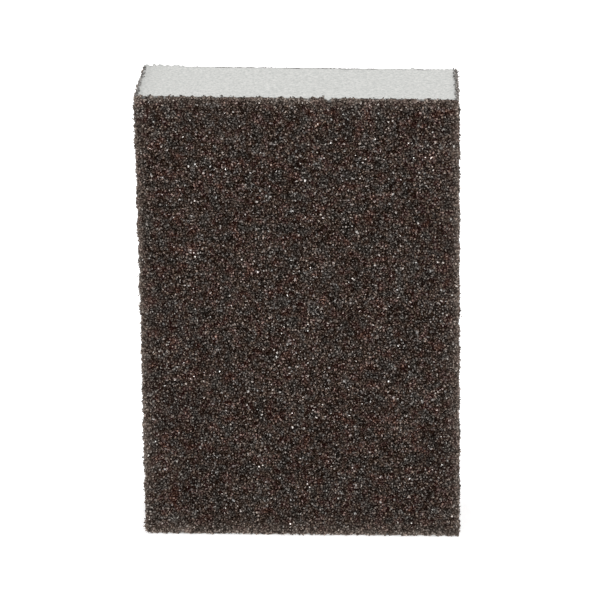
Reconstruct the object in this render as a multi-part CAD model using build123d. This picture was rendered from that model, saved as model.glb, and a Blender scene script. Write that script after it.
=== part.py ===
from build123d import *
import os

# Sanding block: a springy foam core with an abrasive coat on each of its four long faces.
# The two ends are cut straight through foam and coats, and are bare.
#
# Millimetres. The block stands on one cut end: Z runs along it from end to end, X goes
# across the two broad faces and Y through its thickness, with the front face towards -Y.
# The origin is the middle of the bottom end.

# Driving dimensions, over the coats
LENGTH = 100.0
WIDTH = 70.0
THICKNESS = 25.0
LONG_EDGE_RADIUS = 0.8

# The layers of a coat, from the foam outwards: a film of resin that glues the grains to
# the foam, the mineral grains themselves, and a second film that locks them in.
COAT_LAYERS = {
    "make_coat": 0.15,
    "grit": 0.40,
    "size_coat": 0.10,
}
COAT_BUILD = sum(COAT_LAYERS.values())


def cross_section(depth):
    """The block's rounded cross-section, drawn in by depth from the outer surface."""
    return RectangleRounded(
        WIDTH - 2 * depth, THICKNESS - 2 * depth, LONG_EDGE_RADIUS - depth
    )


def face_wedges():
    """The part of the cross-section that belongs to each long face.

    Neighbouring coats meet on mitre lines at 45 degrees, which run from outside each long
    edge through the centre of its radius to the middle plane of the block.
    """
    outside = 1.0
    half_x = WIDTH / 2 + outside
    half_y = THICKNESS / 2 + outside
    ridge = (WIDTH - THICKNESS) / 2
    return {
        "front": Polygon((-half_x, -half_y), (half_x, -half_y), (ridge, 0), (-ridge, 0)),
        "right": Polygon((half_x, -half_y), (half_x, half_y), (ridge, 0)),
        "back": Polygon((half_x, half_y), (-half_x, half_y), (-ridge, 0), (ridge, 0)),
        "left": Polygon((-half_x, half_y), (-half_x, -half_y), (-ridge, 0)),
    }


def foam_core():
    """The one piece of foam, with its long edges eased under the coats."""
    return extrude(cross_section(COAT_BUILD), LENGTH)


def coat_layer(wedge, outer_depth, inner_depth):
    """One layer on one long face, between two depths under the outer surface."""
    ring = cross_section(outer_depth) - cross_section(inner_depth)
    return extrude(ring & wedge, LENGTH)


def coats():
    """Every layer of the four coats, by node name."""
    layers = {}
    for face, wedge in face_wedges().items():
        inner_depth = COAT_BUILD
        for layer, layer_thickness in COAT_LAYERS.items():
            outer_depth = inner_depth - layer_thickness
            layers[f"{face}_{layer}"] = coat_layer(wedge, outer_depth, inner_depth)
            inner_depth = outer_depth
    return layers


os.makedirs("parts", exist_ok=True)
nodes = {"foam_core": foam_core(), **coats()}
for name, solid in nodes.items():
    export_step(solid, f"parts/{name}.step")
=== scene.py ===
"""The looks of a foam sanding block: a springy light-grey core, and on each of its four long
faces a coat of angular mineral grains between two films of dark resin.

Shapes are worked out in millimetres and turned into metres when a mesh is made. Z runs along
the block from its bottom cut end to its top one, and the front face is towards -Y.
"""

import math

import bmesh
import bpy
import numpy as np
from mathutils import Matrix, Vector
from mathutils.geometry import delaunay_2d_cdt


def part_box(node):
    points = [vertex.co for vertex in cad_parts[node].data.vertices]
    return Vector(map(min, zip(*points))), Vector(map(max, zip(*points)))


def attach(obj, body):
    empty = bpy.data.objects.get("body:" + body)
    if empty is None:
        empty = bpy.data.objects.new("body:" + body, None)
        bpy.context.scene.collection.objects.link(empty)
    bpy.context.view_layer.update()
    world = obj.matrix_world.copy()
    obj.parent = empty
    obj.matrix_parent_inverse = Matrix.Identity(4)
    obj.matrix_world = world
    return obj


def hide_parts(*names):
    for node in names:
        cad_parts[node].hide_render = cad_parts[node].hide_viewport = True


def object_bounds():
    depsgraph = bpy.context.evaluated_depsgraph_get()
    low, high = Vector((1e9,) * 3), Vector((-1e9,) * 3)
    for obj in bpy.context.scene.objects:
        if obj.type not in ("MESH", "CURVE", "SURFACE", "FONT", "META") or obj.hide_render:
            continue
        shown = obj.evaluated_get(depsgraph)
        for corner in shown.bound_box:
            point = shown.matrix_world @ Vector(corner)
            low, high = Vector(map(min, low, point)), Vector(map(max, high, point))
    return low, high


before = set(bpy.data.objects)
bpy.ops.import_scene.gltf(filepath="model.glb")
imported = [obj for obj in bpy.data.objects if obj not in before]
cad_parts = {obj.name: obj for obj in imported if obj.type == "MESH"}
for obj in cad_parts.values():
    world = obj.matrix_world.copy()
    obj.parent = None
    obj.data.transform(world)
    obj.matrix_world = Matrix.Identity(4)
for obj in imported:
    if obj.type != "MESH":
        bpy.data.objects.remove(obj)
CAD_LOW, CAD_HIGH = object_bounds()

MM = 0.001
EIGHTH_TURN = math.radians(45)

# -------- sizes, from the frame

LENGTH = CAD_HIGH.z / MM
HALF_WIDTH = CAD_HIGH.x / MM
HALF_THICKNESS = CAD_HIGH.y / MM
CORE_HALF_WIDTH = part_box("foam_core")[1].x / MM
CORE_HALF_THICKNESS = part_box("foam_core")[1].y / MM
COAT_BUILD = HALF_WIDTH - CORE_HALF_WIDTH
MAKE_BUILD = -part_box("front_make_coat")[0].y / MM - CORE_HALF_THICKNESS
# Neighbouring coats meet at 45 degrees on a rounded long edge, so a coat stops short of the
# block's side by a known share of that edge's radius.
EDGE_RADIUS = (HALF_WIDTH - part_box("front_size_coat")[1].x / MM) / (1 - math.cos(EIGHTH_TURN))
CORE_RADIUS = EDGE_RADIUS - COAT_BUILD

# -------- how the block was cut

FACE_TURNS = {"front": 0, "right": 90, "back": 180, "left": 270}  # degrees about Z
TOP_SLOPE = 0.236  # the top end is higher at the left by this, and lower at the right
LEFT_LEAN = 0.65  # the bottom left edge is further in than the top left one by this
RIGHT_LEAN = 1.13  # the back right edge is further in than the front right one by this
LEFT_BOW = 0.20  # how far the left side bows in, halfway up
CRUSHED = 1.9  # how far the bottom left corners are crushed in, across
CRUSHED_RISE = 1.5  # and up
CRUSHED_HEIGHT = 4.0  # the foam takes up the crushing over this height
# The foam tore at the back of the top end: from and to where, and how proud it stands there
TEARS = ((-33.8, -26.2, 0.60), (23.9, 25.4, 0.40), (29.5, 34.5, 0.32))
TORN_DEPTH = 0.8  # how far in from the back it tore
TORN_RUN_OUT = 1.0  # a tear fades out over this length at its ends
TORN_SCALLOP = 1.15  # the length of one lump of the tear
TORN_LUMPS = (0.7, 0.4)  # its height from lump to lump, as a share: the mean and the swing
TORN_HIGHEST = 1.3  # and the most it may be

# -------- the coats

SWELL = 0.07  # how much a coat's build varies
SWELL_PERIOD = 5.0  # over so many millimetres
SIDE_WAVE = 0.13  # the left and right coats' build also varies by this
SIDE_WAVE_PERIOD = 3.0  # over so many
LUMP_SIZE = 1.3  # grains gather in lumps this far across
LUMPS = 0.05  # that vary the coat's build by this
EDGE_LUMPS = 0.24  # and by this at its borders
END_ROUNDING = 0.45  # length over which a coat's outer corner is worn at the cut ends
END_WEAR = 0.12  # and how deep
WEAR_AND_LIGHT_RANGE = 1.0  # how far in from a coat's borders its resin is scuffed and paler, with painted edge light
FOOT_LIGHT_RANGE = 1.3  # and how far up from its foot it is paler with painted light from the floor
SIDE_WEAR_AND_LIGHT = 0.61  # how scuffed and edge-lit its sides and top are, beside its foot
# How far past the foam each coat's ragged top edge stands, and how much further out it flares
# at its left and right ends, seen from outside, over its last stretch
TOP_REACH = {"front": 0.02, "right": 0.10, "back": -0.22, "left": 0.0}
TOP_FLARE = {"front": (0, 0), "right": (0.20, 0.10), "back": (0, 0), "left": (0.03, -0.38)}
FLARE_HEIGHT = 1.0
RAGGED = {"front": 0.19, "right": 0.26, "back": 0.05, "left": 0.22}  # height of that edge
RAGGED_FOOT = 0.15  # height of a coat's ragged bottom edge
FOOT_LEVEL = 0.8  # its mean, as a share of that height
RAGGED_PERIOD = 1.9  # length of one rise and fall of either edge
BARE_FOOT = 0.03  # a coat stops this far above what the block stands on
CURL = 0.32  # the right coat curls up by this near the back
CURL_PLACE = 1.3  # so far from its back edge, and so broadly
CURL_BREADTH = 0.9
NICK = (6.9, 0.70, 0.6)  # the front coat's top edge is nicked: where, half-breadth, depth
# Sawing scratched the resin grey at the coats' top edges, by this share and over this height
SAWN = {"front": 0.0, "right": 0.56, "back": 0.62, "left": 0.72}
SAWN_HEIGHT = 0.45
SAWN_WALL = 0.56  # and by this share on the cut edges themselves, down at the foam

GRAIN_SPACING = 0.58  # between neighbouring small grains
GRAIN_SHIFT = 0.42  # how far they are off an even grid, as a share of the spacing
TIP_SHIFT = 0.30  # and their tips off their middles
GRAIN_RELIEF = 0.34  # from the valleys between them up to their tips
SHALLOW_VALLEY = 0.4  # the shallowest valleys are higher by this share of the relief
TIP_SINK = 0.05  # their tips are this far under the coat's nominal surface
TIP_SPREAD = 0.075  # and vary by this
MITRE_OVERLAP = 0.20  # how far a coat's grains run past its mitre, among its neighbour's
TOP_OVERRUN = 0.10  # how far the last of them run past its top edge
LEAST_COVER = 0.05  # their least height above the film of glue
BACK_ROWS = 12  # rows of points in the middle of the sheet's hidden back
BACK_MARGIN = 4.0  # that start this far from its ends
BACK_COLUMNS = (0, 0.2, 0.4)  # and their distances past the flat of the face
BACK_RELIEF = 0.7  # its points' relief, which sets how much painted valley shade darkens the resin there

CRYSTAL_SPACING = 0.72  # between the larger crystals that stand out of the coat
CRYSTAL_SHIFT = (0.05, 0.95)  # their places in the cells of an even grid
CRYSTAL_SIZE = (0.20, 0.40)  # their half-breadths
SMALL_LEANING = (1.5, 2.8)  # the beta distribution of those, with more small ones than large
CRYSTAL_SINK = 0.12  # their middles are this far under the coat's nominal surface
CRYSTAL_SPREAD = 0.05  # and vary by this
LARGE_RISE = 0.3  # larger ones stand out further by this share of what they are larger
CRYSTAL_ABOVE_FOOT = 0.7  # their middles keep above the coat's foot by this share of their size
CRYSTAL_BELOW_TOP = 0.5  # and below its top by this share
CRYSTAL_OVERRUN = 0.12  # past which they may run by this
CRYSTAL_SHAPES = 60  # different shapes to draw from
CRYSTAL_CORNERS = 8
CORNER_RADII = (0.85, 1.1)  # of a crystal's corners, before it is narrowed and flattened
NARROWED = (0.65, 1.0)
FLATTENED = (0.5, 0.9)
PROUD_SHARE = 0.03  # share of crystals that stand well out, and how far
PROUD_HEIGHT = 0.25
FLOOR_GAP = 0.02  # no crystal reaches lower than this

END_GRAIN_SPACING = 0.30  # between the grains that show in a coat's cut edge
END_GRAIN_SIZE = (0.16, 0.36)
# How far into the foam the innermost of them lie: below zero, they keep out of it
END_GRAIN_DEPTH = {"front": 0.0, "right": 0.32, "back": 0.0, "left": -0.15}
END_GRAIN_COVER = 0.8  # how far they keep under the coat's surface, as a share of their size
# How far their middles lie inside the cut end, as a share of their size, and how that varies
END_GRAIN_SINK = {"front": 0.3, "right": 0.4, "back": 1.0, "left": 0.3}
END_GRAIN_SHIFT = 0.06
END_GRAIN_WEAR_AND_LIGHT = 0.45  # how scuffed they are, with painted edge light

FILM_COLUMN = 0.35  # between columns of points in the film of glue under the grains
FILM_END_ROWS = (0, 0.25, 0.7, 2.0)  # its rows of points, from either end
FILM_ROWS = 12  # and in the middle, from this far in
FILM_MARGIN = 6.0
FILM_RIPPLE = 0.02  # how much its thickness varies
FILM_RIPPLE_PERIOD = 2.5
FILM_FOOT = 0.8  # its foot is as high as the grains' foot times this
FILM_TOP_SPREAD = 0.03  # its top edge varies by this
FILM_RELIEF = 0.5  # its points' relief, which sets how much painted valley shade darkens its resin

# -------- the foam

FOAM_GRID = {"top": 0.17, "bottom": 0.30}  # spacing of the points on the cut ends
FOAM_SIDE_ROWS = 11  # rows of points up its hidden sides
FOAM_CELL = 0.75  # across one foam cell cut open
FOAM_PIT = 0.09  # depth of an open cell
FOAM_WALL_SLOPE = 1.3  # how steeply a cell's wall falls into it
FOAM_PORE_SPACING = 3.1  # between the few larger pores
FOAM_PORE = 0.12  # their depth
FOAM_PORE_RADIUS = 0.14  # as a share of their spacing
FOAM_WAVE = 0.05  # slow unevenness of the saw cut
FOAM_WAVE_PERIOD = 11.0
FOAM_SOUND_RIM = 0.35  # no cell is cut open nearer to the foam's rim than about this
FOAM_SLUMP = 0.08  # the rim is lower by this beside the coats
FOAM_SLUMP_RANGE = 0.8  # and the slump fades over this
# Painted shade where the foam's rim rounds down beside the coats: how strong it is beside the
# left and right ones, and how far in it reaches
PAINTED_RIM_SHADE = {"left": (1.0, 1.8), "right": (0.8, 0.5)}

# -------- repeatable chance

FIRST_SEED = 7100
# Each purpose's first stream; the faces have streams of their own from there on
STREAM_NUMBERS = {
    "crystal shapes": 1, "grains": 10, "crystals": 20, "film": 30, "foam": 40,
    "swell": 50, "top edge": 60, "foot edge": 70, "lumps": 80, "side waves": 90,
}
HILL_WAVES = 9  # waves in each octave of random hills
HILL_LENGTHS = (0.7, 1.5)  # their lengths, as a share of the hills' size
HILL_FADE = 1.6  # each octave is lower than the one before by this


def random_stream(purpose, number=0):
    """The repeatable stream of random numbers for one purpose, and one face by its number."""
    return np.random.default_rng(FIRST_SEED + STREAM_NUMBERS[purpose] + number)


def hills(scale, stream, octaves=3):
    """A function of place: soft random hills of about unit height, so far across."""
    waves = []
    for octave in range(octaves):
        for _ in range(HILL_WAVES):
            heading, phase = stream.uniform(0, 2 * math.pi, 2)
            length = scale / 2**octave * stream.uniform(*HILL_LENGTHS)
            waves.append((math.cos(heading) / length, math.sin(heading) / length, phase, octave))

    def height(x, y):
        total = sum(
            np.sin(2 * math.pi * (x * per_x + y * per_y) + phase) / HILL_FADE**octave
            for per_x, per_y, phase, octave in waves
        )
        return total / math.sqrt(HILL_WAVES)

    return height


def smooth_step(value, start, end):
    """A smooth rise from 0 at the start to 1 at the end."""
    share = np.clip((value - start) / (end - start), 0, 1)
    return share * share * (3 - 2 * share)


# -------- places on the block


class Face:
    """One long face, with the halves of the rounded long edges that belong to it.

    A place on it has an arc length s across the face, from its middle to the right as seen
    from outside, a height z along the block and a height h above the foam.
    """

    def __init__(self, name):
        self.name = name
        self.number = list(FACE_TURNS).index(name)
        angle = math.radians(FACE_TURNS[name])
        self.across = np.array([math.cos(angle), math.sin(angle), 0.0])
        self.outward = np.array([math.sin(angle), -math.cos(angle), 0.0])
        broad = name in ("front", "back")
        half_across = HALF_WIDTH if broad else HALF_THICKNESS
        half_depth = HALF_THICKNESS if broad else HALF_WIDTH
        self.flat_half = half_across - EDGE_RADIUS
        self.centre_depth = half_depth - EDGE_RADIUS
        self.half_span = self.flat_half + EDGE_RADIUS * EIGHTH_TURN
        self.wave_height = 0.0 if broad else SIDE_WAVE
        self.swell = hills(SWELL_PERIOD, random_stream("swell", self.number))
        self.top_hills = hills(RAGGED_PERIOD, random_stream("top edge", self.number), octaves=2)
        self.foot_hills = hills(RAGGED_PERIOD, random_stream("foot edge", self.number), octaves=2)
        self.lumps = hills(LUMP_SIZE, random_stream("lumps", self.number), octaves=2)
        self.waves = hills(SIDE_WAVE_PERIOD, random_stream("side waves", self.number), octaves=2)

    def place(self, s, z, h):
        """The points in the block's frame at s, z and h."""
        s, z, h = np.broadcast_arrays(s, z, h)
        past_flat = np.clip(np.abs(s) - self.flat_half, 0, None)
        angle = past_flat / EDGE_RADIUS
        radius = CORE_RADIUS + h
        across = np.sign(s) * (np.minimum(np.abs(s), self.flat_half) + radius * np.sin(angle))
        outward = self.centre_depth + radius * np.cos(angle)
        points = across[..., None] * self.across + outward[..., None] * self.outward
        points[..., 2] = z
        return points

    def top(self, s):
        """The height of the coat's ragged top edge."""
        top = self.film_top(s) + TOP_REACH[self.name] + RAGGED[self.name] * self.top_hills(s, 0.0)
        if self.name == "right":
            from_curl = s - self.half_span + CURL_PLACE
            top += CURL * np.exp(-((from_curl / CURL_BREADTH) ** 2))
        return top

    def film_top(self, s):
        """The height where the film of glue under the coat ends."""
        if self.name != "front":
            return np.full(np.shape(s), LENGTH)
        middle, half_breadth, depth = NICK
        return LENGTH - depth * np.clip(1 - np.abs(s - middle) / half_breadth, 0, 1)

    def foot(self, s):
        """The height of the coat's ragged bottom edge."""
        return BARE_FOOT + RAGGED_FOOT * np.maximum(FOOT_LEVEL + self.foot_hills(s, 0.0), 0)

    def wear_and_edge_light(self, s, z):
        """How scuffed and painted-lit the coat is at each place, from 0 well inside to 1 at its foot:
        scuffed with painted edge light at its borders, and painted light from the floor at its foot.
        """
        from_border = np.minimum(self.half_span - np.abs(s), LENGTH - z).clip(0, None)
        border = SIDE_WEAR_AND_LIGHT * np.exp(-from_border / WEAR_AND_LIGHT_RANGE)
        return np.maximum(border, np.exp(-z.clip(0, None) / FOOT_LIGHT_RANGE))

    def sawn(self, s, z):
        """How much of the coat's colour the saw scratched away at each place, near its top."""
        return SAWN[self.name] * smooth_step(z, LENGTH - SAWN_HEIGHT, LENGTH - SAWN_HEIGHT / 2)

    def lift(self, s, z):
        """How much higher than usual above the foam the coat is at each place."""
        lumpy = LUMPS + (EDGE_LUMPS - LUMPS) * self.wear_and_edge_light(s, z)
        uneven = SWELL * self.swell(s, z) + lumpy * self.lumps(s, z)
        uneven += self.wave_height * self.waves(s / HALF_THICKNESS, z)
        from_end = np.clip(np.minimum(z, LENGTH - z), 0, END_ROUNDING)
        wear = END_WEAR * (1 - from_end / END_ROUNDING) ** 2
        flare = np.interp(s, (-self.half_span, self.half_span), TOP_FLARE[self.name])
        return uneven - wear + flare * smooth_step(z, LENGTH - FLARE_HEIGHT, LENGTH)


def as_cut(points):
    """Moves points from the exact block to one sawn and coated a little out of square."""
    x, y, z = points[..., 0], points[..., 1], points[..., 2]
    up = np.clip(z / LENGTH, 0, 1)
    back = 0.5 + y / (2 * HALF_THICKNESS)
    left = 0.5 - x / (2 * HALF_WIDTH)
    from_corner = np.maximum(HALF_WIDTH + x, HALF_THICKNESS - np.abs(y))
    past = np.clip(1 - from_corner / CRUSHED, 0, 1)
    crushed = CRUSHED_RISE * (1 - np.sqrt(1 - past**2)) * np.clip(1 - z / CRUSHED_HEIGHT, 0, 1)
    moved = points.copy()
    moved[..., 2] += up * TOP_SLOPE * (2 * left - 1) + crushed
    moved[..., 0] += LEFT_LEAN * left * (1 - up) - RIGHT_LEAN * (1 - left) * back
    moved[..., 0] += LEFT_BOW * left * np.sin(math.pi * up)
    return moved


# -------- meshes


def make_mesh(name, points, triangles, corner_uv, face_values=None, point_values=None):
    """A mesh from arrays: points in millimetres, triangles, a UV for each triangle corner and
    named values for each triangle and for each point."""
    mesh = bpy.data.meshes.new(name)
    mesh.vertices.add(len(points))
    mesh.vertices.foreach_set("co", (points * MM).astype(np.float32).ravel())
    mesh.loops.add(triangles.size)
    mesh.loops.foreach_set("vertex_index", triangles.astype(np.int32).ravel())
    mesh.polygons.add(len(triangles))
    mesh.polygons.foreach_set("loop_start", np.arange(0, triangles.size, 3, dtype=np.int32))
    mesh.update(calc_edges=True)
    layer = mesh.uv_layers.new(name="OFBake")
    layer.data.foreach_set("uv", corner_uv.astype(np.float32).ravel())
    for domain, named_values in (("FACE", face_values), ("POINT", point_values)):
        for value_name, values in (named_values or {}).items():
            attribute = mesh.attributes.new(value_name, "FLOAT", domain)
            attribute.data.foreach_set("value", values.astype(np.float32))
    return mesh


def make_piece(mesh, material, node, smooth=False):
    """Puts a mesh in the scene as the piece that stands for a CAD node."""
    piece = bpy.data.objects.new(mesh.name, mesh)
    bpy.context.scene.collection.objects.link(piece)
    mesh.polygons.foreach_set("use_smooth", np.full(len(mesh.polygons), smooth))
    mesh.materials.append(material)
    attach(piece, "root")
    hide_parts(node)
    return piece


def grid_triangles(rows, columns):
    """The triangles of a grid of points, anticlockwise where rows run up and columns right."""
    index = np.arange(rows * columns).reshape(rows, columns)
    corners = [index[:-1, :-1], index[:-1, 1:], index[1:, 1:], index[1:, :-1]]
    quads = np.stack(corners, -1).reshape(-1, 4)
    return np.concatenate([quads[:, [0, 1, 2]], quads[:, [0, 2, 3]]])


def grid_rim(rows, columns):
    """The outline of a grid's points, anticlockwise."""
    index = np.arange(rows * columns).reshape(rows, columns)
    return np.concatenate([
        index[0, :-1], index[:-1, -1], index[-1, :0:-1], index[:0:-1, 0],
    ])


# The areas of the maps that a mesh's parts fill, each as its middle and its half-breadths.
# A sheet has its outer side over most of its map, its walls in a band round that, and its
# hidden back in one corner. A crystal has its outer facets over its hidden ones.
OUTER_AREA = ((0.5, 0.5), (0.467, 0.467))
WALL_AREA = ((0.5, 0.5), (0.485, 0.485))
HIDDEN_AREA = ((0.007, 0.007), (0.005, 0.005))
CRYSTAL_OUTER_AREA = ((0.5, 0.57), (0.37, 0.37))
CRYSTAL_HIDDEN_AREA = ((0.5, 0.08), (0.37, 0.05))
FOAM_TOP_AREA = ((0.5, 0.75), (0.485, 0.225))
FOAM_BOTTOM_AREA = ((0.5, 0.25), (0.485, 0.225))
FOAM_SIDE_AREA = ((0.5, 0.5), (0.48, 0.01))


def on_map(area, centred):
    """UVs in one area of a map, from places that run from -1 to 1 each way."""
    middle, half_breadths = np.array(area)
    return middle + half_breadths * centred


def sheet_uvs(places, half_breadth, outer, walls, hidden, hidden_start):
    """The UVs of a sheet's outer, wall and hidden triangles, from the s and z of its points.

    The points of its hidden side are those from hidden_start on.
    """
    centred = np.stack([places[:, 0] / half_breadth, 2 * places[:, 1] / LENGTH - 1], -1)
    wall_uvs = np.where(
        (walls >= hidden_start)[..., None],
        on_map(WALL_AREA, centred[walls]),
        on_map(OUTER_AREA, centred[walls]),
    )
    return on_map(OUTER_AREA, centred[outer]), wall_uvs, on_map(HIDDEN_AREA, centred[hidden])


# -------- the small grains of a coat

TOUCHING = 1e-7  # points in a plane that are nearer than this are one


def scattered_seeds(half_span, stream):
    """One point for each grain, on a loose triangular grid that overruns the face all round."""
    margin = 2 * GRAIN_SPACING
    row_gap = GRAIN_SPACING * math.sqrt(3) / 2
    rows = np.arange(-margin, LENGTH + margin, row_gap)
    columns = np.arange(-half_span - margin, half_span + margin, GRAIN_SPACING)
    z, s = np.meshgrid(rows, columns, indexing="ij")
    s = s + (np.arange(len(rows)) % 2)[:, None] * GRAIN_SPACING / 2
    seeds = np.stack([s.ravel(), z.ravel()], -1)
    return seeds + stream.uniform(-GRAIN_SHIFT, GRAIN_SHIFT, seeds.shape) * GRAIN_SPACING


def flat_triangles(points, edges=(), inside_only=False):
    """The Delaunay triangles of points in a plane, anticlockwise, that keep to given edges.

    Returns the points too, as the place where two edges cross becomes a new point.
    """
    vectors = [Vector(point) for point in points.tolist()]
    output_type = 1 if inside_only else 0
    result = delaunay_2d_cdt(vectors, list(edges), [], output_type, TOUCHING)
    vertices, faces, originals = result[0], result[2], result[3]
    crossings = [tuple(vertex) for vertex, found in zip(vertices, originals) if not found]
    new_numbers = iter(range(len(points), len(points) + len(crossings)))
    to_input = np.array([found[0] if found else next(new_numbers) for found in originals])
    points = np.concatenate([points, np.reshape(crossings, (-1, 2))])
    triangles = to_input[np.array(faces)]
    a, b, c = (points[triangles[:, corner]] for corner in range(3))
    turn = (b[:, 0] - a[:, 0]) * (c[:, 1] - a[:, 1]) - (b[:, 1] - a[:, 1]) * (c[:, 0] - a[:, 0])
    triangles[turn < 0] = triangles[turn < 0][:, ::-1]
    return points, triangles


def grain_facets(triangles, seed_count):
    """The facets of the grains, as (seed, corner, corner).

    A grain's outline joins the middles of the triangles around its seed. Each side of the
    outline crosses one edge between two seeds, and gives a facet to each of them.
    """
    start = triangles.ravel()
    end = np.roll(triangles, -1, axis=1).ravel()
    owner = np.repeat(np.arange(len(triangles)), 3)
    key = np.minimum(start, end) * seed_count + np.maximum(start, end)
    order = np.argsort(key, kind="stable")
    start, owner, key = start[order], owner[order], key[order]
    one = np.flatnonzero(key[1:] == key[:-1])
    other = one + 1
    facets_of_one = np.stack([start[one], owner[other], owner[one]], -1)
    facets_of_other = np.stack([start[other], owner[one], owner[other]], -1)
    return np.concatenate([facets_of_one, facets_of_other])


def open_sides(facets):
    """The outline sides that only one grain has, as directed pairs of corners."""
    sides = facets[:, 1:]
    count = sides.max() + 1
    forward = sides[:, 0] * count + sides[:, 1]
    backward = sides[:, 1] * count + sides[:, 0]
    return sides[~np.isin(forward, backward)]


def grain_layer(face, stream):
    """The outer side of one face's sheet of small grains.

    Returns the s and z of its points, their height above the foam and their relief, from 0 in
    the deepest valleys to 1 at the tips, then its facets and the mineral of each.
    """
    seeds = scattered_seeds(face.half_span, stream)
    _, triangles = flat_triangles(seeds)
    corners = seeds[triangles].mean(1)
    tips = seeds + stream.uniform(-TIP_SHIFT, TIP_SHIFT, seeds.shape) * GRAIN_SPACING

    tip_level = COAT_BUILD - TIP_SINK
    tip_height = tip_level + TIP_SPREAD * stream.normal(0, 1, len(seeds)).clip(-2, 2)
    corner_relief = stream.uniform(0, SHALLOW_VALLEY, len(corners))
    corner_height = tip_level - GRAIN_RELIEF * (1 - corner_relief)
    relief = np.concatenate([np.ones(len(seeds)), corner_relief])
    places = np.concatenate([tips, corners])
    s = places[:, 0]
    places[:, 1] = np.clip(places[:, 1], face.foot(s), face.top(s) + TOP_OVERRUN)
    height = np.concatenate([tip_height, corner_height]) + face.lift(s, places[:, 1])
    height = np.maximum(height, MAKE_BUILD + LEAST_COVER)

    seed_s, seed_z = seeds.T
    kept = np.abs(seed_s) < face.half_span + MITRE_OVERLAP
    kept &= (seed_z > face.foot(seed_s)) & (seed_z < face.top(seed_s))
    facets = grain_facets(triangles, len(seeds))
    facets = facets[kept[facets[:, 0]]] + np.array([0, len(seeds), len(seeds)])
    mineral = stream.uniform(0, 1, len(seeds))[facets[:, 0]]
    used, packed = np.unique(facets.ravel(), return_inverse=True)
    return places[used], height[used], relief[used], packed.reshape(-1, 3), mineral


def sheet_back(places, rim, face):
    """The plain back of a sheet: its rim's points and a few rows inside, in triangles."""
    rim_points, rim_index = np.unique(rim.ravel(), return_inverse=True)
    rim_index = rim_index.reshape(-1, 2)
    rows = np.linspace(BACK_MARGIN, LENGTH - BACK_MARGIN, BACK_ROWS)
    columns = face.flat_half + np.array(BACK_COLUMNS)
    s, z = np.meshgrid(np.concatenate([-columns, columns]), rows)
    inner = np.stack([s.ravel(), z.ravel()], -1)
    flat = np.concatenate([places[rim_points], inner])
    flat, triangles = flat_triangles(flat, map(tuple, rim_index.tolist()), inside_only=True)
    return flat, triangles[:, ::-1], rim_index


def grain_sheet(face, stream):
    """The size coat over one face: every small grain of the layer, under its film of resin."""
    places, height, relief, facets, mineral = grain_layer(face, stream)
    rim = open_sides(facets)
    back_places, back, back_rim = sheet_back(places, rim, face)
    back_start = len(places)
    lower = back_rim + back_start
    walls = np.concatenate([
        np.stack([rim[:, 1], rim[:, 0], lower[:, 0]], -1),
        np.stack([rim[:, 1], lower[:, 0], lower[:, 1]], -1),
    ])
    wall_mineral = np.tile(stream.uniform(0, 1, len(rim)), 2)

    places = np.concatenate([places, back_places])
    height = np.concatenate([height, np.full(len(back_places), MAKE_BUILD)])
    s, z = places.T
    on_back = np.arange(len(places)) >= back_start
    triangles = np.concatenate([facets, walls, back + back_start])
    reach = face.half_span + MITRE_OVERLAP + GRAIN_SPACING
    uvs = sheet_uvs(places, reach, facets, walls, back + back_start, back_start)
    return make_mesh(
        f"{face.name}_size_coat_grains", as_cut(face.place(s, z, height)), triangles,
        np.concatenate(uvs),
        {
            "mineral": np.concatenate([mineral, wall_mineral, np.zeros(len(back))]),
            "facet": stream.uniform(0, 1, len(triangles)),
        },
        {
            "relief": np.concatenate([relief, np.full(len(back_places), BACK_RELIEF)]),
            "wear_and_edge_light": np.where(on_back, 1.0, face.wear_and_edge_light(s, z)),
            "sawn": np.maximum(face.sawn(s, z), SAWN_WALL * on_back),
        },
    )


# -------- large crystals


def crystal_shapes(stream):
    """Angular convex shapes of about unit half-breadth, as (points, triangles)."""
    shapes = []
    for _ in range(CRYSTAL_SHAPES):
        corners = stream.normal(0, 1, (CRYSTAL_CORNERS, 3))
        corners /= np.linalg.norm(corners, axis=1)[:, None]
        corners *= stream.uniform(*CORNER_RADII, (CRYSTAL_CORNERS, 1))
        corners *= np.array([1.0, stream.uniform(*NARROWED), stream.uniform(*FLATTENED)])
        shape = bmesh.new()
        for corner in corners:
            shape.verts.new(corner)
        hull = bmesh.ops.convex_hull(shape, input=shape.verts)
        buried = [part for part in hull["geom_interior"] if isinstance(part, bmesh.types.BMVert)]
        bmesh.ops.delete(shape, geom=buried, context="VERTS")
        bmesh.ops.triangulate(shape, faces=shape.faces)
        bmesh.ops.recalc_face_normals(shape, faces=shape.faces)
        shape.verts.index_update()
        points = np.array([vertex.co for vertex in shape.verts])
        triangles = np.array([[vertex.index for vertex in f.verts] for f in shape.faces])
        shape.free()
        shapes.append((points, triangles))
    return shapes


def random_turns(count, stream):
    """So many random rotation matrices, from random unit quaternions."""
    quaternions = stream.normal(0, 1, (count, 4))
    w, x, y, z = (quaternions / np.linalg.norm(quaternions, axis=1)[:, None]).T
    rows = [
        [1 - 2 * (y * y + z * z), 2 * (x * y - z * w), 2 * (x * z + y * w)],
        [2 * (x * y + z * w), 1 - 2 * (x * x + z * z), 2 * (y * z - x * w)],
        [2 * (x * z - y * w), 2 * (y * z + x * w), 1 - 2 * (x * x + y * y)],
    ]
    return np.stack([np.stack(row, -1) for row in rows], -2)


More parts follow.
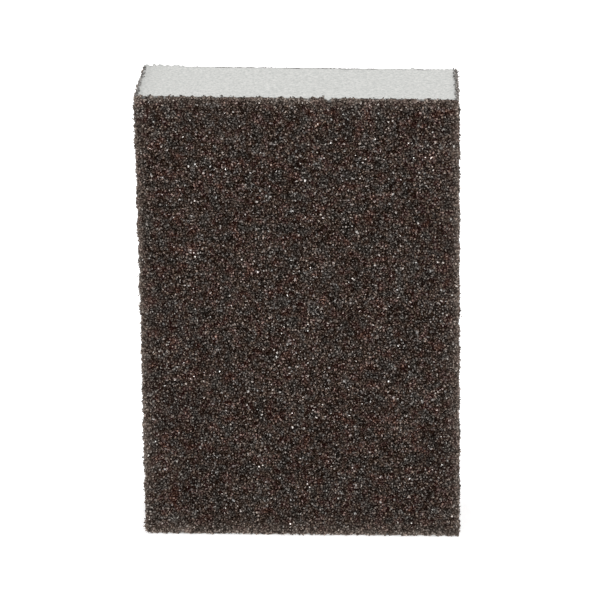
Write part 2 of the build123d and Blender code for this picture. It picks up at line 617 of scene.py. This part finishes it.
def crystal_places(face, stream):
    """Where the crystals of one face are: s, z, h and half-breadth of each."""
    columns = int(2 * face.half_span / CRYSTAL_SPACING)
    rows = int(LENGTH / CRYSTAL_SPACING)
    row, column = np.divmod(np.arange(rows * columns), columns)
    shift_s, shift_z = stream.uniform(*CRYSTAL_SHIFT, (2, rows * columns))
    s = (2 * (column + shift_s) / columns - 1) * face.half_span
    z = (row + shift_z) / rows * LENGTH
    low, high = CRYSTAL_SIZE
    size = low + (high - low) * stream.beta(*SMALL_LEANING, len(s))
    lowest = face.foot(s) + CRYSTAL_ABOVE_FOOT * size
    highest = face.top(s) + CRYSTAL_OVERRUN - CRYSTAL_BELOW_TOP * size
    z = np.clip(z, lowest, highest)
    h = COAT_BUILD - CRYSTAL_SINK + stream.normal(0, CRYSTAL_SPREAD, len(s))
    h += LARGE_RISE * (size - low) + face.lift(s, z)
    h += PROUD_HEIGHT * (stream.uniform(0, 1, len(s)) < PROUD_SHARE)
    ends = [end_grain_places(face, stream, is_top) for is_top in (True, False)]
    return np.concatenate([np.stack([s, z, h, size]), *ends], axis=1)


def end_grain_places(face, stream, is_top):
    """Where the grains are that show in a coat's cut edge, as s, z, h and half-breadth."""
    count = int(2 * face.half_span / END_GRAIN_SPACING)
    s = face.half_span * (2 * (np.arange(count) + stream.uniform(0, 1, count)) / count - 1)
    size = stream.uniform(*END_GRAIN_SIZE, count)
    h = stream.uniform(-END_GRAIN_DEPTH[face.name], COAT_BUILD - END_GRAIN_COVER * size)
    inward = END_GRAIN_SINK[face.name] * size
    inward += stream.uniform(-END_GRAIN_SHIFT, END_GRAIN_SHIFT, count)
    z = face.top(s) - inward if is_top else face.foot(s) + inward
    return np.stack([s, z, h + face.lift(s, z), size])


def faces_outward(corners, facets, outward):
    """Whether each facet of each turned crystal faces away from the foam."""
    a, b, c = (corners[:, facets[:, corner]] for corner in range(3))
    return np.einsum("nfi,ni->nf", np.cross(b - a, c - a), outward) > 0


def crystal_uvs(plan, is_outer, cell, cells_each_way):
    """The UVs of facets that each lie in the square cell of the map that their crystal has."""
    in_cell = np.where(
        is_outer[:, None, None],
        on_map(CRYSTAL_OUTER_AREA, plan),
        on_map(CRYSTAL_HIDDEN_AREA, plan),
    )
    corner = np.stack([cell % cells_each_way, cell // cells_each_way], -1)[:, None, :]
    return (corner + in_cell) / cells_each_way


def crystals(face, shapes, stream):
    """The grit of one face: its larger crystals, half sunk among the small grains."""
    s, z, h, size = crystal_places(face, stream)
    turns = random_turns(len(s), stream)
    kind = stream.integers(0, len(shapes), len(s))
    mineral = stream.uniform(0, 1, len(s))
    # scuffed and edge-lit with painted light near the top edge, and elsewhere as the face is
    wear_and_edge_light = np.where(z > face.top(s) - END_GRAIN_SIZE[1], END_GRAIN_WEAR_AND_LIGHT, face.wear_and_edge_light(s, z))
    sawn = face.sawn(s, z)
    level = h - face.lift(s, z)
    middle = face.place(s, z, h)
    outward = face.place(s, z, h + 1) - middle
    sideways = np.cross(np.array([0.0, 0.0, 1.0]), outward)
    cells_each_way = math.ceil(math.sqrt(len(s)))

    batches = []
    point_count = 0
    for number, (shape, facets) in enumerate(shapes):
        chosen = np.flatnonzero(kind == number)
        corners = np.einsum("nij,pj->npi", turns[chosen], shape)
        rise = np.einsum("npi,ni->np", corners, outward[chosen])
        aside = np.einsum("npi,ni->np", corners, sideways[chosen])
        plan = np.stack([aside, corners[..., 2]], -1)
        is_outer = faces_outward(corners, facets, outward[chosen])
        first = point_count + np.arange(len(chosen)) * len(shape)
        point_count += len(chosen) * len(shape)
        batches.append({
            "points": (corners * size[chosen, None, None] + middle[chosen, None]).reshape(-1, 3),
            "triangles": (first[:, None, None] + facets).reshape(-1, 3),
            "uvs": crystal_uvs(
                plan[:, facets].reshape(-1, 3, 2), is_outer.ravel(),
                np.repeat(chosen, len(facets)), cells_each_way,
            ),
            "level": (rise * size[chosen, None] + level[chosen, None]).ravel(),
            "mineral": np.repeat(mineral[chosen], len(facets)),
            "wear_and_edge_light": np.repeat(wear_and_edge_light[chosen], len(shape)),
            "sawn": np.repeat(sawn[chosen], len(shape)),
        })
    every = {key: np.concatenate([batch[key] for batch in batches]) for key in batches[0]}
    points = as_cut(every["points"])
    points[:, 2] = np.maximum(points[:, 2], FLOOR_GAP)
    # painted shade: a crystal is darker the lower it lies, down to the small grains' valleys
    valley = COAT_BUILD - TIP_SINK - GRAIN_RELIEF
    relief = np.clip((every["level"] - valley) / GRAIN_RELIEF, 0, 1)
    facet = stream.uniform(0, 1, len(every["triangles"]))
    return make_mesh(
        f"{face.name}_crystals", points, every["triangles"], every["uvs"],
        {"mineral": every["mineral"], "facet": facet},
        {"relief": relief, "wear_and_edge_light": every["wear_and_edge_light"], "sawn": every["sawn"]},
    )


# -------- film of glue under the grains


def resin_film(face, stream):
    """The make coat: a thin film of resin whose edges show at the cut ends."""
    ripple = hills(FILM_RIPPLE_PERIOD, stream)
    column_count = int(2 * face.half_span / FILM_COLUMN)
    columns = np.linspace(-face.half_span, face.half_span, column_count)
    from_end = np.array(FILM_END_ROWS)[:, None]
    foot = FILM_FOOT * face.foot(columns)
    top = face.film_top(columns) + FILM_TOP_SPREAD * stream.normal(0, 1, column_count)
    middle = np.linspace(FILM_MARGIN, LENGTH - FILM_MARGIN, FILM_ROWS)[:, None]
    middle = np.broadcast_to(middle, (FILM_ROWS, column_count))
    z = np.concatenate([foot + from_end, middle, top - from_end[::-1]])
    s = np.broadcast_to(columns, z.shape)
    outer_height = MAKE_BUILD + FILM_RIPPLE * ripple(s, z).clip(-1, 1)
    outer = face.place(s, z, outer_height).reshape(-1, 3)
    inner = face.place(s, z, 0.0).reshape(-1, 3)

    facets = grid_triangles(*z.shape)
    hidden = facets[:, ::-1] + z.size
    rim = grid_rim(*z.shape)
    next_rim = np.roll(rim, -1)
    walls = np.concatenate([
        np.stack([next_rim, rim, rim + z.size], -1),
        np.stack([next_rim, rim + z.size, next_rim + z.size], -1),
    ])
    triangles = np.concatenate([facets, hidden, walls])
    places = np.tile(np.stack([s.ravel(), z.ravel()], -1), (2, 1))
    facet_uvs, wall_uvs, hidden_uvs = sheet_uvs(
        places, face.half_span, facets, walls, hidden, z.size
    )
    everywhere = np.ones(len(places))
    return make_mesh(
        f"{face.name}_make_coat_film", as_cut(np.concatenate([outer, inner])), triangles,
        np.concatenate([facet_uvs, hidden_uvs, wall_uvs]),
        {
            "mineral": stream.uniform(0, 1, len(triangles)),
            "facet": stream.uniform(0, 1, len(triangles)),
        },
        {"relief": FILM_RELIEF * everywhere, "wear_and_edge_light": everywhere, "sawn": everywhere},
    )


# -------- foam

CENTRE_SHIFT = (0.08, 0.92)  # the places of scattered centres in the cells of an even grid
SPARE_CELLS = 2  # cells of that grid past each side of the block


def nearest_centres(x, y, spacing, stream):
    """Distances from each place to the nearest and second nearest of scattered centres, as
    shares of their spacing."""
    columns = int(2 * HALF_WIDTH / spacing) + 2 * SPARE_CELLS + 1
    rows = int(2 * HALF_THICKNESS / spacing) + 2 * SPARE_CELLS + 1
    shift = stream.uniform(*CENTRE_SHIFT, (columns, rows, 2))
    grid_x = (x + HALF_WIDTH) / spacing + SPARE_CELLS
    grid_y = (y + HALF_THICKNESS) / spacing + SPARE_CELLS
    cell_x, cell_y = np.floor(grid_x).astype(int), np.floor(grid_y).astype(int)
    first = np.full(x.shape, np.inf)
    second = np.full(x.shape, np.inf)
    for step_x in (-1, 0, 1):
        for step_y in (-1, 0, 1):
            near_x, near_y = cell_x + step_x, cell_y + step_y
            centre = shift[near_x, near_y]
            distance = np.hypot(
                near_x + centre[..., 0] - grid_x, near_y + centre[..., 1] - grid_y
            )
            second = np.minimum(second, np.maximum(first, distance))
            first = np.minimum(first, distance)
    return first, second


def foam_relief(x, y, stream):
    """The height of a sawn foam surface: open cells, a few large pores and slow waves."""
    first, second = nearest_centres(x, y, FOAM_CELL, stream)
    cells = FOAM_PIT * np.clip(FOAM_WALL_SLOPE * (second - first), 0, 1)
    to_pore, _ = nearest_centres(x, y, FOAM_PORE_SPACING, stream)
    pores = FOAM_PORE * np.sqrt(np.clip(1 - to_pore / FOAM_PORE_RADIUS, 0, 1))
    waves = FOAM_WAVE * hills(FOAM_WAVE_PERIOD, stream)(x, y)
    to_rim = np.minimum(CORE_HALF_WIDTH - np.abs(x), CORE_HALF_THICKNESS - np.abs(y))
    inside = np.clip(to_rim / FOAM_SOUND_RIM, 0, 1)
    slump = FOAM_SLUMP * np.exp(-to_rim / FOAM_SLUMP_RANGE)
    return waves - (cells + pores) * inside - slump


def torn_relief(x, y, stream):
    """How much higher the top end stands where the foam tore at the back of the saw cut."""
    lift = sum(
        height * (smooth_step(x, start - TORN_RUN_OUT, start) - smooth_step(x, end, end + TORN_RUN_OUT))
        for start, end, height in TEARS
    )
    mean, swing = TORN_LUMPS
    lumps = (mean + swing * hills(TORN_SCALLOP, stream, octaves=1)(x, 0.0)).clip(0, TORN_HIGHEST)
    return lift * lumps * np.exp((y - CORE_HALF_THICKNESS) / TORN_DEPTH)


def rounded(x, y):
    """Moves the corners of a rectangular grid onto the core's rounded long edges."""
    inner_x, inner_y = CORE_HALF_WIDTH - CORE_RADIUS, CORE_HALF_THICKNESS - CORE_RADIUS
    centre_x, centre_y = np.clip(x, -inner_x, inner_x), np.clip(y, -inner_y, inner_y)
    distance = np.hypot(x - centre_x, y - centre_y)
    shrink = np.minimum(1, CORE_RADIUS / np.maximum(distance, CORE_RADIUS))
    return centre_x + (x - centre_x) * shrink, centre_y + (y - centre_y) * shrink


def foam_end(spacing, stream, is_top):
    """One cut end of the core, as a grid of points with their relief."""
    columns, rows = (
        np.linspace(-half, half, int(2 * half / spacing))
        for half in (CORE_HALF_WIDTH, CORE_HALF_THICKNESS)
    )
    x, y = np.meshgrid(columns, rows)
    relief = foam_relief(x, y, stream)
    if is_top:
        relief += torn_relief(x, y, stream)
    x, y = rounded(x, y)
    z = LENGTH + relief if is_top else np.maximum(0.0, -relief)
    return np.stack([x, y, z], -1)


def bridge(upper, lower):
    """Triangles between two rims with different numbers of points, both anticlockwise."""
    triangles = []
    i = j = 0
    while i < len(upper) or j < len(lower):
        a, b = upper[i % len(upper)], lower[j % len(lower)]
        if (i + 1) * len(lower) <= (j + 1) * len(upper):
            i += 1
            triangles.append([a, b, upper[i % len(upper)]])
        else:
            j += 1
            triangles.append([b, lower[j % len(lower)], a])
    return np.array(triangles)


def foam_core(stream):
    """The foam: two detailed cut ends, joined by plain sides that the coats hide."""
    top = foam_end(FOAM_GRID["top"], stream, is_top=True)
    bottom = foam_end(FOAM_GRID["bottom"], stream, is_top=False)
    top_size, bottom_size = top.shape[:2], bottom.shape[:2]
    bottom_start = top_size[0] * top_size[1]
    top_triangles = grid_triangles(*top_size)
    bottom_triangles = bottom_start + grid_triangles(*bottom_size)[:, ::-1]
    bottom_rim = bottom_start + grid_rim(*bottom_size)

    points = np.concatenate([top.reshape(-1, 3), bottom.reshape(-1, 3)])
    outline = points[bottom_rim] * np.array([1, 1, 0])
    rings = [bottom_rim]
    for height in np.linspace(0, LENGTH, FOAM_SIDE_ROWS + 2)[1:-1]:
        rings.append(len(points) + np.arange(len(outline)))
        points = np.concatenate([points, outline + np.array([0, 0, height])])
    rings.append(grid_rim(*top_size))
    sides = np.concatenate([bridge(upper, lower) for lower, upper in zip(rings, rings[1:])])

    x, y, z = points.T
    plan = np.stack([x / CORE_HALF_WIDTH, y / CORE_HALF_THICKNESS], -1)
    around = np.stack([np.arctan2(y, x) / math.pi, 2 * z / LENGTH - 1], -1)
    uvs = np.concatenate([
        on_map(FOAM_TOP_AREA, plan)[top_triangles],
        on_map(FOAM_BOTTOM_AREA, plan)[bottom_triangles],
        on_map(FOAM_SIDE_AREA, around)[sides],
    ])
    # painted shade beside the left and right coats, where the foam's rim rounds down
    from_side = {"left": CORE_HALF_WIDTH + x, "right": CORE_HALF_WIDTH - x}
    painted_rim_shade = sum(
        amount * np.exp(-from_side[side] / reach) for side, (amount, reach) in PAINTED_RIM_SHADE.items()
    )
    triangles = np.concatenate([top_triangles, bottom_triangles, sides])
    return make_mesh("foam_block", as_cut(points), triangles, uvs, point_values={"painted_rim_shade": painted_rim_shade})


# -------- materials


class Nodes:
    """Short ways to build one material's nodes."""

    def __init__(self, name):
        self.material = bpy.data.materials.new(name)
        self.material.use_nodes = True
        self.tree = self.material.node_tree
        self.shader = self.tree.nodes["Principled BSDF"]
        self.place = self.add("TexCoord").outputs["Object"]

    def add(self, kind, inputs=None, **settings):
        """A new node with its settings, and its inputs set to values or linked to sockets."""
        node = self.tree.nodes.new(f"ShaderNode{kind}")
        for key, value in settings.items():
            setattr(node, key, value)
        for key, value in (inputs or {}).items():
            if isinstance(value, bpy.types.NodeSocket):
                self.tree.links.new(value, node.inputs[key])
            else:
                node.inputs[key].default_value = value
        return node

    def link(self, source, socket):
        self.tree.links.new(source, self.shader.inputs[socket])

    def set(self, **values):
        """Sets the shader's own sockets, named with underscores for spaces."""
        for name, value in values.items():
            self.shader.inputs[name.replace("_", " ")].default_value = value

    def attribute(self, name):
        return self.add("Attribute", attribute_name=name).outputs["Fac"]

    def noise(self, feature_mm):
        """Noise from 0 to 1 with features of about so many millimetres."""
        inputs = {"Vector": self.place, "Scale": 1 / (feature_mm * MM), "Detail": 2.0}
        return self.add("TexNoise", inputs).outputs["Fac"]

    def remap(self, value, old, new):
        """A value from the old range, taken to the new one and kept within it."""
        inputs = {
            "Value": value, "From Min": old[0], "From Max": old[1],
            "To Min": new[0], "To Max": new[1],
        }
        return self.add("MapRange", inputs).outputs["Result"]

    def product(self, one, other):
        return self.add("Math", {0: one, 1: other}, operation="MULTIPLY").outputs[0]

    def tinted(self, colour, tint):
        return self.add("VectorMath", {0: colour, 1: tint}, operation="MULTIPLY").outputs[0]

    def scaled(self, colour, factor):
        node = self.add("VectorMath", {0: colour, "Scale": factor}, operation="SCALE")
        return node.outputs[0]

    def total(self, one, other):
        return self.add("VectorMath", {0: one, 1: other}, operation="ADD").outputs[0]

    def mixed(self, one, other, share_of_other):
        """One colour turning into another. A Mix node's vector sockets are its fifth and sixth."""
        inputs = {0: share_of_other, 4: one, 5: other}
        return self.add("Mix", inputs, data_type="VECTOR").outputs[1]

    def ramp(self, factor, stops, interpolation="LINEAR"):
        """A colour for each factor, from (factor, colour) stops."""
        node = self.add("ValToRGB", {"Fac": factor})
        ramp = node.color_ramp
        ramp.interpolation = interpolation
        while len(ramp.elements) < len(stops):
            ramp.elements.new(1.0)
        for element, (position, colour) in zip(ramp.elements, stops):
            element.position = position
            element.color = (*colour, 1)
        return node.outputs["Color"]

    def bump(self, height, depth_mm):
        inputs = {"Height": height, "Strength": BUMP_STRENGTH, "Distance": depth_mm * MM}
        self.link(self.add("Bump", inputs).outputs["Normal"], "Normal")


UNIT = (0.0, 1.0)
MIDDLE_OF_NOISE = (0.32, 0.68)

# The colours of the grains in linear light: the share of the grains that have each, and it.
# The palest are pale minerals, and stand also for painted glints.
MINERALS = (
    (0.14, (0.028, 0.022, 0.017)),
    (0.22, (0.071, 0.057, 0.049)),
    (0.26, (0.112, 0.091, 0.080)),
    (0.20, (0.150, 0.124, 0.112)),
    (0.11, (0.190, 0.166, 0.153)),
    (0.05, (0.262, 0.240, 0.226)),
    (0.013, (0.425, 0.402, 0.385)),
    (0.007, (0.800, 0.775, 0.750)),
)
# The palest minerals, which also stand for painted glints, take less of their batch's tint, from
# none of the shares up to all of them
PALE_MINERALS_AND_GLINTS = (0.7, 1.0)
UNTINTED = (0.0, 0.75)
# Scuffed resin is a pale brown, also painted on as edge light at the borders and as light from
# the floor at the foot, and sawn resin grey.
SCUFFED_AND_LIT_RESIN = (0.340, 0.280, 0.238)
SAWN_EDGE = (0.300, 0.292, 0.280)
# Batches of mineral differ a little from place to place: bluish, plain, olive, mauve, rusty.
# Each tints its grains, and the resin in it adds a brown that shows most in the dark.
BATCH_TINTS = (
    (0.36, (0.92, 1.01, 1.00)),
    (0.46, (1.01, 1.00, 0.97)),
    (0.54, (1.08, 0.99, 0.85)),
    (0.60, (1.11, 0.95, 0.96)),
    (0.68, (1.25, 0.94, 0.79)),
)
RESIN_TINTS = (
    (0.36, (0.0046, 0.0014, 0.0006)),
    (0.46, (0.0068, 0.0010, 0.0000)),
    (0.54, (0.0085, 0.0018, 0.0000)),
    (0.60, (0.0096, 0.0006, 0.0004)),
    (0.68, (0.0128, 0.0012, 0.0000)),
)
BATCH_BREADTH = 2.4  # millimetres across one batch, patch or streak
PATCH_BREADTH = 6.5
STREAK_BREADTH = 0.20
# How much the colour varies from patch to patch, inside a grain, from facet to facet as painted
# light and shade, and from grain to grain where they are scuffed and edge-lit, and where sawn
PATCH_SHADES = (0.77, 1.23)
STREAK_SHADES = (0.8, 1.2)
PAINTED_FACET_SHADES = (0.55, 1.45)
SCUFFED_AND_LIT_SHADES = (0.4, 1.6)
VALLEY_SHADE_RELIEF = (0.22, 0.78)  # relief over which the painted valley shade, over resin pooled there, lifts to the tips
MOST_SCUFFED_AND_LIT = (0.0, 0.97)
SCUFFED_AND_LIT_VALLEYS = (0.3, 1.0)  # how much of the scuffing and painted edge light reaches the valleys, beside the tips
# For each layer: how bright its grains are, how bright its valleys stay under the painted
# valley shade, how rough its facets and how glossy
COAT_LOOKS = {
    "size_coat": {"brightness": 0.68, "valley": 0.0, "roughness": (0.45, 0.75), "gloss": 0.04},
    "grit": {"brightness": 1.68, "valley": 0.0, "roughness": (0.08, 0.60), "gloss": 0.45},
    "make_coat": {"brightness": 0.9, "valley": 0.8, "roughness": (0.45, 0.65), "gloss": 0.2},
}
FOAM_TONES = ((0.3, (0.495, 0.505, 0.490)), (0.7, (0.675, 0.672, 0.652)))
FOAM_MOTTLE = 0.6  # millimetres across one blotch of those
FOAM_FINE_CELLS = 2600  # finest foam cells in a metre
FINE_CELL = (0.0, 0.7)  # from such a cell's middle to its walls, as a share of its breadth
# painted shade: a fine cell is darker in its middle, where its bump sinks lowest
PAINTED_CELL_SHADES = (0.88, 1.04)
PAINTED_RIM_SHADES = (1.0, 0.82)  # of unshaded foam, and of foam at the darkest of the painted rim shade
FOAM_ROUGHNESS = (0.82, 0.96)
FOAM_GLOSS = 0.2
BUMP_STRENGTH = 0.3
GRAIN_BUMP = 0.05  # millimetres deep
FOAM_BUMP = 0.1
PAPER_TONES = ((0.3, (0.90, 0.90, 0.90)), (0.7, (0.93, 0.93, 0.93)))
PAPER_GRAIN = 1.1
PAPER_ROUGHNESS = 0.9
PAPER_GLOSS = 0.1
PAPER_GLOW = 0.42


def mineral_ramp(nodes):
    """Each grain's own colour, from its place in the shares of the minerals."""
    stops, total = [], 0.0
    for share, colour in MINERALS:
        stops.append((total, colour))
        total += share
    return nodes.ramp(nodes.attribute("mineral"), stops, "CONSTANT")


def grain_material(name, brightness, valley, roughness, gloss):
    """Grains under resin: each of its own mineral, with painted shade in the valleys where resin
    also pools, scuffed and paler at the coat's borders with painted edge light there, paler at its
    foot with painted light from the floor, and with painted light and shade from facet to facet on
    facets that broke more or less smooth."""
    nodes = Nodes(name)
    mineral = nodes.attribute("mineral")
    facet = nodes.attribute("facet")
    batch = nodes.noise(BATCH_BREADTH)
    own_colour = mineral_ramp(nodes)
    tinted = nodes.tinted(own_colour, nodes.ramp(batch, BATCH_TINTS))
    # the palest grains, partly painted glints, keep neutral
    colour = nodes.mixed(tinted, own_colour, nodes.remap(mineral, PALE_MINERALS_AND_GLINTS, UNTINTED))

    fine = nodes.noise(STREAK_BREADTH)
    streaks = nodes.remap(fine, MIDDLE_OF_NOISE, [shade * brightness for shade in STREAK_SHADES])
    patches = nodes.remap(nodes.noise(PATCH_BREADTH), MIDDLE_OF_NOISE, PATCH_SHADES)
    # painted light and shade: each facet lighter or darker, as if each caught the light at its own
    # angle
    facet_light_and_shade = nodes.remap(facet, UNIT, PAINTED_FACET_SHADES)
    # painted shade: darker down in the valleys between grains, over the brown resin pooled there
    resin = nodes.remap(nodes.attribute("relief"), VALLEY_SHADE_RELIEF, (valley, 1.0))
    shade = nodes.product(nodes.product(streaks, facet_light_and_shade), nodes.product(resin, patches))
    stained = nodes.total(nodes.scaled(colour, shade), nodes.ramp(batch, RESIN_TINTS))

    # painted light over real scuffing: paler towards the coat's borders as edge light, and towards its
    # foot as light from the floor
    wear_and_edge_light = nodes.remap(nodes.attribute("wear_and_edge_light"), UNIT, MOST_SCUFFED_AND_LIT)
    scuff = nodes.product(wear_and_edge_light, nodes.remap(resin, UNIT, SCUFFED_AND_LIT_VALLEYS))
    uneven = nodes.product(facet_light_and_shade, nodes.remap(mineral, UNIT, SCUFFED_AND_LIT_SHADES))
    scuffed = nodes.mixed(stained, nodes.scaled(SCUFFED_AND_LIT_RESIN, uneven), scuff)
    sawn = nodes.mixed(scuffed, nodes.scaled(SAWN_EDGE, uneven), nodes.attribute("sawn"))
    nodes.link(sawn, "Base Color")
    nodes.link(nodes.remap(facet, UNIT, roughness), "Roughness")
    nodes.bump(fine, GRAIN_BUMP)
    nodes.set(Specular_IOR_Level=gloss)
    return nodes.material


def foam_material():
    """Light grey polyurethane foam: fine cells with painted shade in their middles, faint mottling, and
    painted shade beside the coats.
    """
    nodes = Nodes("foam")
    mottle = nodes.noise(FOAM_MOTTLE)
    cells = nodes.add("TexVoronoi", {"Vector": nodes.place, "Scale": FOAM_FINE_CELLS})
    tone = nodes.ramp(mottle, FOAM_TONES)
    # painted shade in the middle of each fine cell
    cell_shade = nodes.remap(cells.outputs["Distance"], FINE_CELL, PAINTED_CELL_SHADES)
    # painted shade: the foam darker beside the coats
    rim_shaded = nodes.remap(nodes.attribute("painted_rim_shade"), UNIT, PAINTED_RIM_SHADES)
    nodes.link(nodes.scaled(tone, nodes.product(cell_shade, rim_shaded)), "Base Color")
    nodes.link(nodes.remap(mottle, UNIT, FOAM_ROUGHNESS), "Roughness")
    nodes.bump(cells.outputs["Distance"], FOAM_BUMP)
    nodes.set(Specular_IOR_Level=FOAM_GLOSS)
    return nodes.material


def floor_material():
    """White paper that glows a little, like a light table."""
    nodes = Nodes("floor")
    nodes.link(nodes.ramp(nodes.noise(PAPER_GRAIN), PAPER_TONES), "Base Color")
    nodes.set(Roughness=PAPER_ROUGHNESS, Specular_IOR_Level=PAPER_GLOSS)
    nodes.set(Emission_Color=(1, 1, 1, 1), Emission_Strength=PAPER_GLOW)
    nodes.material.cycles.emission_sampling = "NONE"
    return nodes.material


# -------- camera, light and floor

# Degrees that the camera is round from the front to the block's right, up, and rolled
CAMERA_ANGLES = (3.44, 18.22, -0.63)
CAMERA_DISTANCE = 1.092  # metres
CAMERA_TARGET = Vector((-0.3, 0, LENGTH / 2 + 0.5)) * MM
LENS = 298.5
SENSOR = 36.0
CAMERA_RANGE = (0.05, 50.0)  # metres from it to the nearest and farthest things it sees

# Soft suns: the heading in degrees round from the front, the height and the softness in
# degrees, and the strength. Four smaller ones round the block make its grains glint.
SUNS = {"overhead": (0, 78, 75, 1.85)}
SUNS.update({f"side_{heading}": (heading, 38, 16, 0.55) for heading in (-50, 50, 140, -140)})
ROOM_GLOW = 0.12
BACKDROP_GLOW = 1.0
FLOOR_HALF = 6.0  # metres


def towards(heading, height):
    """The direction so many radians round from the front to the block's right, and up."""
    return Vector((
        math.sin(heading) * math.cos(height),
        -math.cos(heading) * math.cos(height),
        math.sin(height),
    ))


def make_camera():
    """A long lens in front of the block, a little to its right and looking down on it."""
    azimuth, elevation, roll = (math.radians(angle) for angle in CAMERA_ANGLES)
    back = towards(azimuth, elevation)
    right = Vector((math.cos(azimuth), math.sin(azimuth), 0))
    up = back.cross(right)
    camera_right = right * math.cos(roll) + up * math.sin(roll)
    camera_up = up * math.cos(roll) - right * math.sin(roll)
    camera = bpy.data.objects.new("camera", bpy.data.cameras.new("camera"))
    bpy.context.scene.collection.objects.link(camera)
    axes = Matrix((camera_right, camera_up, back)).transposed().to_4x4()
    camera.matrix_world = Matrix.Translation(CAMERA_TARGET + back * CAMERA_DISTANCE) @ axes
    camera.data.sensor_width = SENSOR
    camera.data.lens = LENS
    camera.data.clip_start, camera.data.clip_end = CAMERA_RANGE
    bpy.context.scene.camera = camera


def make_suns():
    for name, (heading, height, softness, strength) in SUNS.items():
        light = bpy.data.lights.new(name, "SUN")
        light.angle = math.radians(softness)
        light.energy = strength
        sun = bpy.data.objects.new(name, light)
        bpy.context.scene.collection.objects.link(sun)
        direction = towards(math.radians(heading), math.radians(height))
        sun.rotation_euler = direction.to_track_quat("Z", "Y").to_euler()


def make_floor():
    """A wide floor under the block, which isn't part of it."""
    signs = ((-1, -1), (1, -1), (1, 1), (-1, 1))
    corners = [(FLOOR_HALF * x, FLOOR_HALF * y, 0) for x, y in signs]
    mesh = bpy.data.meshes.new("floor")
    mesh.from_pydata(corners, [], [(0, 1, 2, 3)])
    mesh.materials.append(floor_material())
    floor = bpy.data.objects.new("floor", mesh)
    bpy.context.scene.collection.objects.link(floor)


def make_world():
    """A dim room, with a white backdrop where the camera looks past the floor."""
    world = bpy.data.worlds.new("studio")
    bpy.context.scene.world = world
    world.use_nodes = True
    tree = world.node_tree
    sight = tree.nodes.new("ShaderNodeLightPath")
    strength = tree.nodes.new("ShaderNodeMapRange")
    strength.inputs["To Min"].default_value = ROOM_GLOW
    strength.inputs["To Max"].default_value = BACKDROP_GLOW
    tree.links.new(sight.outputs["Is Camera Ray"], strength.inputs["Value"])
    background = tree.nodes["Background"]
    background.inputs["Color"].default_value = (1, 1, 1, 1)
    tree.links.new(strength.outputs["Result"], background.inputs["Strength"])


# -------- build


def make_coats():
    """The three layers of the coat on each of the four long faces."""
    shapes = crystal_shapes(random_stream("crystal shapes"))
    materials = {layer: grain_material(layer, **look) for layer, look in COAT_LOOKS.items()}
    for face_name in FACE_TURNS:
        face = Face(face_name)
        meshes = {
            "size_coat": grain_sheet(face, random_stream("grains", face.number)),
            "grit": crystals(face, shapes, random_stream("crystals", face.number)),
            "make_coat": resin_film(face, random_stream("film", face.number)),
        }
        for layer, mesh in meshes.items():
            make_piece(mesh, materials[layer], f"{face_name}_{layer}")


make_camera()
make_world()
make_suns()
make_floor()
bpy.context.scene.view_settings.view_transform = "Standard"

make_coats()
foam_mesh = foam_core(random_stream("foam"))
foam = make_piece(foam_mesh, foam_material(), "foam_core", smooth=True)
